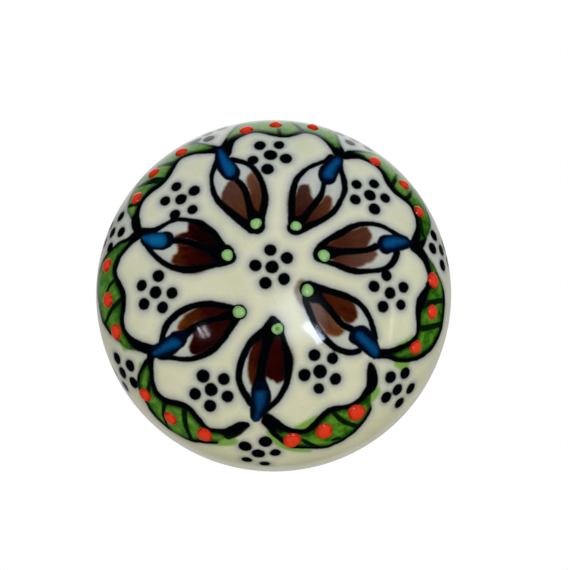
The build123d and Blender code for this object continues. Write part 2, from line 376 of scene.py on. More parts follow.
LOWER_RIGHT_SWAG = Swag(
    inner=[(370.3, 364, 0.4), (371.6, 371, 1.05), (372.4, 380, 1.3), (371.2, 387, 1.15), (366, 393, 0.8),
           (360.5, 399.5, 0.6), (351, 405.3, 0.5), (340, 407.8, 0.55), (331, 409.8, 0.65), (325, 413.8, 0.65),
           (320, 418.5, 0.65), (315, 424, 0.65), (310, 428.5, 0.65), (304, 431.5, 0.58), (296, 431.4, 0.56),
           (288, 429.6, 0.65), (280, 426, 0.85), (273, 421.5, 1.05), (267, 417, 0.9)],
    outer=[(-53, 18.6, 0.2), (-54, 19.1, 0.3), (-56, 19.6, 0.34), (-58, 20, 0.38), (-60, 20.3, 0.42),
           (-62, 20.7, 0.38), (-65, 21, 0.36), (-67, 21.2, 0.38), (-70, 21.3, 0.38), (-72, 21.4, 0.36),
           (-75, 21.1, 0.36), (-78, 20.7, 0.36), (-81, 20.4, 0.36), (-84, 20.1, 0.4), (-86, 19.5, 0.45),
           (-88, 18.8, 0.5), (-90, 18.1, 0.6), (-91, 17.5, 0.8), (-93, 16.7, 1.0)],
    leaves=[
        [(333.5, 413, 0.5), (339.5, 418.3, 0.6), (346.7, 423, 0.6), (355, 425.7, 0.6)],
        [(332, 440, 0.3), (336, 438.8, 0.5), (340, 438, 0.35)],
        [(301, 439.5, 0.5), (309, 443.5, 0.55), (317, 447, 0.5)],
        [(281, 431.5, 0.5), (275, 428.5, 0.6)],
    ],
    smears=[
        [(366, 402.5, 1.1), (370.5, 397.5, 1.4), (375.8, 391.8, 1.2)],
        [(297, 428.5, 0.7), (305, 425.8, 1.1), (312, 421.3, 0.9), (316, 417.5, 0.5)],
        [(270, 432, 0.9), (276, 439.5, 1.1), (283, 445.5, 1.0), (296, 450, 0.6), (310, 450.8, 0.5)],
    ],
    berries=[(356.7, 412.8, 2.15), (324.5, 431.5, 2.1), (292, 440.5, 2.1)],
    thinness=(0.0, 0.0),
)
LOWER_LEFT_SWAG = Swag(
    inner=[(247, 425, 0.6), (241, 426, 0.95), (234, 430, 1.2), (227, 432, 1.0), (219, 431, 0.62),
           (210, 429.6, 0.55), (204.5, 426, 0.52), (200, 421, 0.62), (195, 415.3, 0.65), (190, 409.3, 0.62),
           (184.5, 406, 0.7), (178, 403.6, 0.72), (170, 402, 0.72), (164.5, 400, 0.7), (159.5, 396, 0.68),
           (155.2, 390, 0.66), (152.3, 381, 0.56), (151.6, 371, 0.5), (150.5, 362, 0.8), (151, 355, 0.95)],
    outer=[(-109, 20.8, 0.3), (-112, 21.4, 0.4), (-115, 21.9, 0.45), (-117, 22.4, 0.4), (-121, 22.9, 0.1),
           (-124, 23, 0.05), (-126, 22.9, 0.35), (-129, 22.7, 0.4), (-131, 22.6, 0.4), (-134, 22.2, 0.4),
           (-136, 21.7, 0.35), (-140, 21.2, 0.2), (-142, 20.6, 0.25), (-144, 19.7, 0.3), (-145, 18.7, 0.35),
           (-146, 17.5, 0.5)],
    leaves=[
        [(165, 402, 0.7), (163.5, 409, 0.55), (164, 417, 0.5), (168, 427.5, 0.4)],
        [(185, 408, 0.8), (184.5, 417, 0.72), (186.5, 428, 0.7), (191, 438.5, 0.6)],
        [(243, 427, 1.0), (234, 432.5, 1.3), (228, 436.5, 0.9)],
        [(149.5, 383, 0.4), (148.3, 390, 0.6), (150, 396, 0.4)],
    ],
    smears=[
        [(212, 442, 1.0), (221, 442, 1.3), (229, 441.3, 1.4), (233, 440.5, 1.1)],
        [(139, 368, 0.4), (141, 364, 0.4)],
    ],
    berries=[(145, 395, 1.75), (170.5, 418.5, 1.75), (204.5, 435, 2.0)],
    thinness=(0.04, 0.04),
)
LEFT_SWAG = Swag(
    inner=[(140, 235, 0.85), (133.5, 240, 0.72), (127.5, 246.8, 0.52), (121.5, 254.5, 0.44), (118, 262, 0.44),
           (115.5, 270, 0.43), (116, 277.5, 0.58), (119.5, 285, 0.65), (122.5, 291.5, 0.64),
           (123.6, 300, 0.68), (123.2, 309, 0.64), (122, 319, 0.55), (123.5, 328, 0.5), (127, 335, 0.6),
           (131.5, 340.3, 0.85), (138, 345.5, 1.1), (146, 348.5, 1.15), (152, 350, 1.1)],
    outer=[(163, 16.8, 0.8), (165, 17.6, 0.42), (166, 18.6, 0.3), (168, 19.6, 0.25), (170, 20.8, 0.2),
           (173, 22.1, 0.15), (176, 22.8, 0.15), (180, 23, 0.2), (184, 22.7, 0.2), (189, 22.3, 0.25),
           (192, 22, 0.3), (194, 21.5, 0.35), (197, 20.9, 0.25), (199, 20.4, 0.2), (201, 20, 0.1),
           (203, 19.6, -0.2), (206, 19, -0.3), (208, 18.1, -0.1), (211, 16.8, 0.5)],
    leaves=[
        [(113, 281.5, 0.55), (109.5, 286, 0.5), (107, 291, 0.45)],
        [(120, 300.5, 0.7), (113, 308, 0.6), (109, 314.5, 0.6), (105.5, 323.5, 0.5)],
        [(118, 257, 0.6), (115, 264.5, 0.7), (114.3, 272, 0.6)],
    ],
    smears=[[(121, 341, 0.7), (124, 346.5, 0.8), (125, 349.5, 0.5)]],
    berries=[(107, 265.5, 1.75), (107.8, 300, 1.9), (116, 331.8, 1.85)],
    thinness=(0.06, 0.0),
)
UPPER_LEFT_SWAG = Swag(
    inner=[(139, 233, 0.9), (136.2, 225, 1.15), (135.5, 219, 1.1), (137.3, 213, 0.66), (139.5, 206, 0.52),
           (143, 199.8, 0.53), (148, 194, 0.6), (154, 188.7, 0.66), (160.8, 184.3, 0.6), (166, 179, 0.58),
           (169.8, 173, 0.6), (173.6, 166.8, 0.52), (178, 160.3, 0.54), (185, 156, 0.5), (194, 153.4, 0.4),
           (204, 152.2, 0.48), (212, 151, 0.8), (219, 150.5, 0.95)],
    outer=[(157.6, 17.4, 0.7), (156, 18.4, 0.0), (154, 19.5, -0.2), (152, 20.1, -0.2), (148, 21, -0.2),
           (142, 21.8, 0.3), (134, 22.7, 0.3), (126, 22.6, 0.25), (120, 21.4, -0.2), (118.2, 20.2, -0.2),
           (117, 19, -0.2), (115, 17.9, 0.0), (113.2, 16.8, 0.6)],
    leaves=[
        [(171.5, 163.5, 0.8), (165, 164.5, 0.6), (158.5, 166.5, 0.4)],
        [(161, 180.5, 1.0), (153, 180.8, 1.0), (145, 183.5, 0.75), (138, 187, 0.4)],
        [(138, 203.5, 0.7), (133.5, 204.5, 0.7), (129.5, 205.8, 0.5)],
    ],
    smears=[],
    berries=[(136.8, 198, 1.65), (154, 173.2, 1.6), (181.3, 152.2, 1.65)],
    thinness=(0.2, 0.08),
)
SWAGS = [
    TOP_SWAG, UPPER_RIGHT_SWAG, RIGHT_SWAG, LOWER_RIGHT_SWAG, LOWER_LEFT_SWAG, LEFT_SWAG, UPPER_LEFT_SWAG,
]

# Six-dot sprigs, each dot as (x, y, diameter) on the face
FACE_SPRIGS = [
    [(270.5, 250, 1.3), (287, 258, 1.3), (255.5, 265.5, 1.3), (272, 267, 1.4), (284, 279, 1.3),
     (265.5, 283, 1.3)],
    [(260, 145.5, 1.3), (279, 145, 1.18), (270.5, 155, 1.45), (286, 158.5, 1.35), (253, 160, 1.2),
     (267.5, 169, 1.4)],
    [(356.5, 184.5, 1.17), (374, 183.8, 1.17), (370, 195.3, 1.35), (385, 198, 1.15), (355.5, 199.5, 1.25),
     (374.5, 209, 1.36)],
    [(386.5, 275.5, 1.24), (374, 286.5, 1.24), (403.5, 287.3, 1.2), (390, 293, 1.3), (383, 306.7, 1.25),
     (401, 305, 1.12)],
    [(314.5, 355, 1.26), (332.5, 358.5, 1.22), (320, 371.5, 1.48), (304.5, 375, 1.33), (335.5, 379, 1.25),
     (319, 388.5, 1.14)],
    [(203, 376, 1.44), (224, 379, 1.28), (211, 389.7, 1.4), (195, 394, 1.3), (227.5, 396.5, 1.3),
     (210, 406, 1.35)],
    [(158.5, 276, 1.34), (141.5, 285.5, 1.22), (155.5, 292.3, 1.38), (172, 293, 1.26), (144, 304, 1.28),
     (162.5, 307.5, 1.26)],
    [(176.5, 186.7, 1.16), (194.3, 190.8, 1.3), (165.2, 201, 1.17), (181, 199.2, 1.3), (192.5, 209.5, 1.16),
     (175, 214.7, 1.22)],
]

# Sprigs round the rim, as the diameter of their dots and each dot's angle in degrees and reach
RIM_SPRIGS = [
    (1.25, [(113, 21.2), (114, 19.3), (118, 20.4), (108, 21.3), (116, 22.8), (110.5, 23)]),
    (1.15, [(61.5, 21.4), (62, 19.7), (67, 21.2), (56, 21.2), (64.5, 23.1), (58.5, 23)]),
    (1.3, [(12, 21.4), (12, 19.3), (17, 20.4), (6.5, 20.9), (14.5, 23.1), (9, 23.2)]),
    (1.32, [(-42, 19.6), (-41, 17.7), (-36, 18.9), (-38, 21.3), (-46.8, 19.2), (-44, 21.5)]),
    (1.45, [(-95, 21.25), (-92.8, 19.3), (-99.6, 20.3)]),
    (1.14, [(-89.4, 20.95), (-98.6, 22.8), (-92.8, 23.4)]),
    (1.35, [(-149.3, 22), (-149, 19.9), (-154.2, 21.5), (-144, 21.1), (-146, 23.7), (-151.5, 25)]),
    (1.2, [(162, 21), (162, 19), (156, 20.5), (167.6, 20.4), (165, 22.7), (159, 22.7)]),
]

# A stretch of the black outline that took the full gloss, as pixels and widths in millimetres
GLOSSY_STROKE = [(314, 323, 0.1), (318.5, 330.5, 0.9), (323, 337, 1.2)]

# Painting, in millimetres apart from shares and counts
FAR = 4.0
REACH_MARGIN = 2.0
LEAST_SPAN = 1e-9
CURVE_STEPS = 6
REACH_STEPS = 400
STREAK_SHRINK = 0.3
TIP_SPREAD = 0.35
TIP_FADE = 1.4
FACE_CELLS = 272
BACK_RING = FACE_CELLS


def turned_profile():
    """Centres and angles of the tangent arcs from the face to the foot, as in the solid."""
    waist_x = WAIST_DIAMETER / 2 + WAIST_RADIUS
    waist_y = -FOOT_HEIGHT - sqrt(WAIST_RADIUS**2 - (waist_x - FOOT_DIAMETER / 2) ** 2)
    under_x = KNOB_RADIUS - UNDERSIDE_RADIUS
    under_y = waist_y - sqrt((UNDERSIDE_RADIUS + WAIST_RADIUS) ** 2 - (waist_x - under_x) ** 2)
    rim_x = KNOB_RADIUS - RIM_RADIUS
    rim_y = under_y - RIM_LAND
    face_angle = asin(rim_x / (FACE_RADIUS - RIM_RADIUS))
    face_y = rim_y + (FACE_RADIUS - RIM_RADIUS) * cos(face_angle)
    return (waist_x, waist_y), (under_x, under_y), (rim_x, rim_y), face_angle, face_y


WAIST_CENTRE, UNDERSIDE_CENTRE, RIM_CENTRE, FACE_ANGLE, FACE_CENTRE_Y = turned_profile()
FACE_REACH = FACE_RADIUS * FACE_ANGLE
EQUATOR_REACH = FACE_REACH + RIM_RADIUS * (pi / 2 - FACE_ANGLE)
PAINT_REACH = EQUATOR_REACH + RIM_LAND


def front_profile(reach):
    """Radius and Y of the painted front at a distance over the surface from the middle of the face."""
    face = reach / FACE_RADIUS
    rim = np.clip(FACE_ANGLE + (reach - FACE_REACH) / RIM_RADIUS, FACE_ANGLE, pi / 2)
    land = np.clip(reach - EQUATOR_REACH, 0, RIM_LAND)
    on_face = reach <= FACE_REACH
    radius = np.where(on_face, FACE_RADIUS * np.sin(face), RIM_CENTRE[0] + RIM_RADIUS * np.sin(rim))
    y = np.where(on_face, FACE_CENTRE_Y - FACE_RADIUS * np.cos(face),
                 RIM_CENTRE[1] - RIM_RADIUS * np.cos(rim) + land)
    return radius, y


def on_front(angle, reach):
    """Points of the painted front, from the angle round the axis in radians and the reach over it."""
    radius, y = front_profile(np.asarray(reach, float))
    return np.stack([radius * np.cos(angle), y, radius * np.sin(angle)], axis=-1)


def concentric_disc(cells):
    """A square grid of points pressed into a unit disc without crowding, as (x, y) arrays."""
    side = np.linspace(-1, 1, cells + 1)
    across, up = np.meshgrid(side, side)
    wide = np.abs(across) > np.abs(up)
    reach = np.where(wide, across, up)
    safe = np.where(reach == 0, 1, reach)
    angle = np.where(wide, pi / 4 * up / safe, pi / 2 - pi / 4 * across / safe)
    return reach * np.cos(angle), reach * np.sin(angle)


disc_x, disc_y = concentric_disc(FACE_CELLS)
face_reach = np.hypot(disc_x, disc_y).ravel() * PAINT_REACH
face_turn = np.arctan2(disc_y, disc_x).ravel()
face_points = on_front(face_turn, face_reach)
face_map = np.stack([face_reach * np.cos(face_turn), face_reach * np.sin(face_turn)], axis=-1)
face_grid = np.arange(len(face_points)).reshape(disc_x.shape)


def face_quads():
    """Corner numbers of the front's grid cells, facing out."""
    corners = (face_grid[:-1, :-1], face_grid[:-1, 1:], face_grid[1:, 1:], face_grid[1:, :-1])
    return np.stack([corner.ravel() for corner in corners], axis=-1).tolist()


front_quads = face_quads()
front_tree = BVHTree.FromPolygons([Vector(point) for point in face_points], front_quads)

# Camera, in millimetres until it is placed
camera_forward = Vector((0, cos(CAMERA_TILT), sin(CAMERA_TILT)))
camera_right = Vector((1, 0, 0))
camera_up = camera_right.cross(camera_forward)
equator_middle = Vector((0, RIM_CENTRE[1], 0))
camera_place = equator_middle - camera_forward * CAMERA_DISTANCE
camera_aim = equator_middle + camera_right * AIM_RIGHT + camera_up * AIM_UP
camera_turn = (camera_aim - camera_place).to_track_quat("-Z", "Y")


def seen(x, y):
    """The face's point and normal behind a pixel of the photograph."""
    ray = camera_turn @ Vector((x - IMAGE_WIDTH / 2, IMAGE_HEIGHT / 2 - y, -FOCAL_PIXELS))
    point, normal, _, _ = front_tree.ray_cast(camera_place, ray.normalized())
    if point is None:
        raise ValueError(f"pixel {x}, {y} is off the knob")
    return point, normal


def curve_through(stops, closed=False):
    """Points along a smooth Catmull-Rom curve through the stops, whatever their columns are."""
    stops = np.array(stops, float)
    if closed:
        padded = np.vstack([stops[-1], stops, stops[:2]])
    else:
        padded = np.vstack([2 * stops[0] - stops[1], stops, 2 * stops[-1] - stops[-2]])
    share = np.linspace(0, 1, CURVE_STEPS, endpoint=False)[:, None]
    spans = []
    for before, start, end, after in zip(padded, padded[1:], padded[2:], padded[3:]):
        spans.append(0.5 * (2 * start + (end - before) * share
                            + (2 * before - 5 * start + 4 * end - after) * share**2
                            + (3 * start - before - 3 * end + after) * share**3))
    return np.vstack(spans if closed else [*spans, stops[-1]])


def seen_path(stops):
    """A brush path on the face through photograph pixels, as rows of x, y, z and width."""
    return np.array([[*seen(x, y)[0], width] for x, y, width in curve_through(stops)])


def measured_path(stops):
    """A brush path through angles in degrees and reaches in millimetres, as rows of x, y, z and width."""
    angle, reach, width = curve_through(stops).T
    return np.column_stack([on_front(np.radians(angle), reach), width])


reach_steps = np.linspace(0, EQUATOR_REACH, REACH_STEPS)
radius_steps = front_profile(reach_steps)[0]


def flattened(points):
    """Points of the face on its flat map."""
    reach = np.interp(np.hypot(points[:, 0], points[:, 2]), radius_steps, reach_steps)
    angle = np.arctan2(points[:, 2], points[:, 0])
    return np.column_stack([reach * np.cos(angle), reach * np.sin(angle)])


def seen_outline(stops):
    """A closed outline on the face's flat map through photograph pixels."""
    return flattened(np.array([seen(x, y)[0] for x, y in curve_through(stops, closed=True)]))


# What the front's points carry: the distance to each paint, the strengths of some, and the petals' grain
PAINTS = ("ink", "leaf_and_shadow", "bud", "brown", "bleed", "navy", "blue", "green", "smear", "gloss")
STRENGTHS = ("petal_tone", "petal_veil_and_glint", "calyx_glow", "wash_paleness_and_sky_sheen")
layers = {name: np.full(len(face_points), FAR) for name in PAINTS}
strengths = {name: np.zeros(len(face_points)) for name in STRENGTHS}
petal_grain = np.zeros((len(face_points), 3))


def close_to(places, outline, room):
    """Numbers of the places inside the outline's box and some room round it."""
    low, high = outline.min(axis=0) - room, outline.max(axis=0) + room
    return np.flatnonzero(((places > low) & (places < high)).all(axis=1))


def gaps_to_spans(places, start, step):
    """How far each place is from each span, and the share along the span where it is nearest."""
    offset = places[:, None, :] - start
    span = np.maximum((step**2).sum(axis=1), LEAST_SPAN)
    share = np.clip((offset * step).sum(axis=2) / span, 0, 1)
    return np.linalg.norm(offset - share[..., None] * step, axis=2), share


def brush(layer, path):
    """Lays one stroke on a paint layer."""
    place, width = path[:, :3], path[:, 3]
    touched = close_to(face_points, place, width.max() / 2 + REACH_MARGIN)
    gap, share = gaps_to_spans(face_points[touched], place[:-1], np.diff(place, axis=0))
    gap -= (width[:-1] + share * np.diff(width)) / 2
    layers[layer][touched] = np.minimum(layers[layer][touched], gap.min(axis=1))


def dab(layer, point, size):
    """Lays one round touch of the brush."""
    brush(layer, np.array([[*point, size], [*point, size]]))


def fill(layer, corners):
    """Fills a closed outline of the flat map, and gives the numbers of the points that it came closest to."""
    touched = close_to(face_map, corners, REACH_MARGIN)
    end = np.roll(corners, -1, axis=0)
    step = end - corners
    gap = gaps_to_spans(face_map[touched], corners, step)[0].min(axis=1)
    x, y = face_map[touched][:, :1], face_map[touched][:, 1:]
    crosses = (corners[:, 1] > y) != (end[:, 1] > y)
    rise = np.where(step[:, 1] == 0, 1, step[:, 1])
    side = corners[:, 0] + (y - corners[:, 1]) * step[:, 0] / rise
    inside = (crosses & (x < side)).sum(axis=1) % 2 == 1
    signed = np.where(inside, -gap, gap)
    closer = signed < layers[layer][touched]
    layers[layer][touched[closer]] = signed[closer]
    return touched[closer]


def paint_petal(petal, number):
    """One brown petal, whose tone changes from its tip to its end and whose streaks run along it."""
    corners = seen_outline(petal.outline)
    touched = fill("brown", corners)
    axis = corners.mean(axis=0) - corners[0]
    axis /= np.linalg.norm(axis)
    along = (face_map[touched] - corners[0]) @ axis
    across = (face_map[touched] - corners[0]) @ (-axis[1], axis[0])
    share = np.clip(along / ((corners - corners[0]) @ axis).max(), 0, 1)
    strengths["petal_tone"][touched] = petal.tip_tone + (petal.end_tone - petal.tip_tone) * share**2
    # The pale veil, partly a painted reflection of the window and sky, changes from the petal's tip to its
    # end
    strengths["petal_veil_and_glint"][touched] = petal.tip_milk + (petal.end_milk - petal.tip_milk) * share
    layers["brown"][touched] -= TIP_SPREAD * np.clip(1 - TIP_FADE * share, 0, 1)
    grain = np.column_stack([along * STREAK_SHRINK, across, np.full(len(along), number)])
    petal_grain[touched] = grain * METRE


def paint_bud(bud, number):
    """One flower bud: outlines, stem, brown petals and blue calyx."""
    first, second = (seen_path(outline) for outline in bud.outlines)
    fill("bud", np.vstack([flattened(first), flattened(second)[::-1]]))
    for stroke in (first, second, seen_path(bud.stem)):
        brush("ink", stroke)
    x, y, size = bud.cap
    dab("ink", seen(x, y)[0], size)
    for side, petal in enumerate(bud.petals):
        paint_petal(petal, 2 * number + side)
    for bleed in bud.bleeds:
        brush("bleed", seen_path(bleed))
    fill("blue", seen_outline(bud.calyx))
    strengths["calyx_glow"][fill("navy", seen_outline(bud.rim))] = bud.glow


def paint_swag(swag):
    """One swag of the garland: the green band between its lines, dark leaves, painted shadows under berries
    and smears.
    """
    inner, outer = seen_path(swag.inner), measured_path(swag.outer)
    band = np.vstack([flattened(inner), flattened(outer)[::-1]])
    touched = fill("green", band)
    chord = band[len(inner) - 1] - band[0]
    share = np.clip((face_map[touched] - band[0]) @ chord / (chord @ chord), 0, 1)
    # The wash's paleness, partly a painted sky reflection, runs from the swag's start to its end
    start, end = swag.thinness
    strengths["wash_paleness_and_sky_sheen"][touched] = start + (end - start) * share
    brush("ink", inner)
    brush("ink", outer)
    # Dark strokes: leaves, and in two swags a painted shadow under a berry
    for leaf_and_shadow in swag.leaves:
        brush("leaf_and_shadow", seen_path(leaf_and_shadow))
    for smear in swag.smears:
        brush("smear", seen_path(smear))


for number, bud in enumerate(BUDS):
    paint_bud(bud, number)
for swag in SWAGS:
    paint_swag(swag)
for sprig in FACE_SPRIGS:
    for x, y, size in sprig:
        dab("ink", seen(x, y)[0], size)
for size, dots in RIM_SPRIGS:
    for angle, reach in dots:
        dab("ink", on_front(radians(angle), reach), size)
brush("gloss", seen_path(GLOSSY_STROKE))


# Numbers of the Mix node's colour sockets
MIX_FIRST, MIX_SECOND, MIX_RESULT = 6, 7, 2


class Shader:
    """A node tree of a material or the world, with short calls for the nodes used here."""

    def __init__(self, owner, surface, coordinates="Object"):
        owner.use_nodes = True
        self.owner = owner
        self.nodes = owner.node_tree.nodes
        self.links = owner.node_tree.links
        self.surface = self.nodes[surface]
        self.place = self.nodes.new("ShaderNodeTexCoord").outputs[coordinates]

    def put(self, socket, value):
        """Links a socket, or sets a constant on it."""
        if isinstance(value, bpy.types.NodeSocket):
            self.links.new(value, socket)
        else:
            socket.default_value = value

    def set(self, **values):
        """Links or sets inputs of the surface."""
        for name, value in values.items():
            self.put(self.surface.inputs[name.replace("_", " ")], value)

    def parts(self, vector):
        """The three parts of a vector."""
        node = self.nodes.new("ShaderNodeSeparateXYZ")
        self.links.new(vector, node.inputs[0])
        return node.outputs

    def stored(self, name, output="Fac"):
        """A value that the mesh's points carry."""
        node = self.nodes.new("ShaderNodeAttribute")
        node.attribute_name = name
        return node.outputs[output]

    def noise(self, size, detail=2.0, roughness=0.5, place=None):
        """Noise whose blotches are about size millimetres across."""
        node = self.nodes.new("ShaderNodeTexNoise")
        self.links.new(place or self.place, node.inputs["Vector"])
        node.inputs["Scale"].default_value = 1 / (size * METRE)
        node.inputs["Detail"].default_value = detail
        node.inputs["Roughness"].default_value = roughness
        return node.outputs["Fac"]

    def math(self, operation, first, second=0.0):
        """One operation on one or two values."""
        node = self.nodes.new("ShaderNodeMath")
        node.operation = operation
        self.put(node.inputs[0], first)
        self.put(node.inputs[1], second)
        return node.outputs[0]

    def ramp(self, value, low, high, at_low=0.0, at_high=1.0):
        """A smooth step from at_low to at_high as value goes from low to high."""
        node = self.nodes.new("ShaderNodeMapRange")
        node.interpolation_type = "SMOOTHSTEP"
        for socket, number in zip(node.inputs, (value, low, high, at_low, at_high)):
            self.put(socket, number)
        return node.outputs[0]

    def mix(self, share, first, second):
        """A colour with a share of the second over the first."""
        node = self.nodes.new("ShaderNodeMix")
        node.data_type = "RGBA"
        self.put(node.inputs[0], share)
        self.put(node.inputs[MIX_FIRST], first)
        self.put(node.inputs[MIX_SECOND], second)
        return node.outputs[MIX_RESULT]

    def shades(self, value, stops):
        """A colour blended along stops of a value and a colour."""
        node = self.nodes.new("ShaderNodeValToRGB")
        self.links.new(value, node.inputs[0])
        elements = node.color_ramp.elements
        for place, _ in stops[1:-1]:
            elements.new(place)
        for element, (place, colour) in zip(elements, stops):
            element.position = place
            element.color = colour
        return node.outputs[0]

    def toward(self, direction):
        """The cosine of the angle between a place's direction and a given one."""
        node = self.nodes.new("ShaderNodeVectorMath")
        node.operation = "DOT_PRODUCT"
        self.links.new(self.place, node.inputs[0])
        node.inputs[1].default_value = direction
        return node.outputs["Value"]

    def spread(self, value, amount):
        """Noise moved to swing round zero by up to half the amount."""
        return self.math("MULTIPLY", self.math("SUBTRACT", value, 0.5), amount)

    def bump(self, height, depth, strength=1.0):
        """A normal from a height, with depth in millimetres."""
        node = self.nodes.new("ShaderNodeBump")
        node.inputs["Strength"].default_value = strength
        node.inputs["Distance"].default_value = depth * METRE
        self.put(node.inputs["Height"], height)
        return node.outputs["Normal"]


def new_material(name):
    """An empty material's shader."""
    return Shader(bpy.data.materials.new(name), "Principled BSDF")


def paint(red, green, blue):
    """A linear colour from display values of 0 to 255, by the sRGB curve."""
    display = [value / 255 for value in (red, green, blue)]
    linear = [v / 12.92 if v <= 0.04045 else ((v + 0.055) / 1.055) ** 2.4 for v in display]
    return (*linear, 1.0)


# Colours. Those in a list shade from one to the next along a value
IVORY, IVORY_SHADE, FLECK = paint(225, 221, 201), paint(197, 199, 165), paint(168, 160, 132)
INK, DEEP_INK = paint(5, 9, 11), paint(2, 3, 5)
INK_HAZE, INK_EDGE, BUD_HAZE = paint(158, 165, 171), paint(128, 134, 130), paint(166, 172, 176)
WASH_GREENS = [(0.32, paint(24, 76, 8)), (0.5, paint(62, 118, 24)), (0.68, paint(98, 144, 46))]
# Pale green of a thin wash that also stands for a painted sky reflection, and green darkened by ink
PALE_GREEN_AND_SKY_SHEEN, INKY_GREEN = paint(160, 194, 140), paint(6, 40, 8)
# Smear green, and the dark green of leaves and of painted shadows under berries
SMEAR_GREEN, LEAF_AND_SHADOW_GREEN = paint(108, 158, 44), paint(6, 24, 8)
PETAL_BROWNS = [(0.0, paint(14, 1, 2)), (0.35, paint(46, 6, 3)), (0.65, paint(74, 32, 6)),
                (1.0, paint(118, 68, 28))]
# The petals' pale veil, partly a painted reflection of the window and sky, and brown that ran past the lines
PETAL_VEIL_AND_GLINT, BLEED_BROWN = paint(128, 108, 100), paint(100, 68, 30)
NAVY = paint(2, 8, 23)
CALYX_BLUES = [(0.0, paint(2, 14, 40)), (0.35, paint(2, 50, 94)), (0.7, paint(3, 78, 130)),
               (1.0, paint(18, 100, 142))]
# Enamel drops: the colour in the middle, and darker painted shade at the edge and in a pit
DROP_GREEN, DROP_GREEN_EDGE_SHADE, DROP_GREEN_PIT_SHADE = paint(144, 190, 120), paint(98, 130, 82), paint(88, 128, 62)
DROP_RED, DROP_RED_EDGE_SHADE = paint(226, 57, 26), paint(172, 30, 9)
CLAY_LIGHT, CLAY_DARK = paint(226, 218, 200), paint(196, 182, 156)
BRASS_BRIGHT, BRASS_DULL = paint(222, 184, 104), paint(150, 108, 52)
FLOOR_LIGHT, FLOOR_DARK = paint(242, 233, 205), paint(235, 226, 198)

# Gloss: specular levels, and the heights in millimetres between which the ink's turns full
FULL_GLOSS, INK_GLOSS, PETAL_GLOSS = 0.5, 0.05, 0.18
GLOSSY_FROM, GLOSSY_ABOVE = 12.0, 17.0


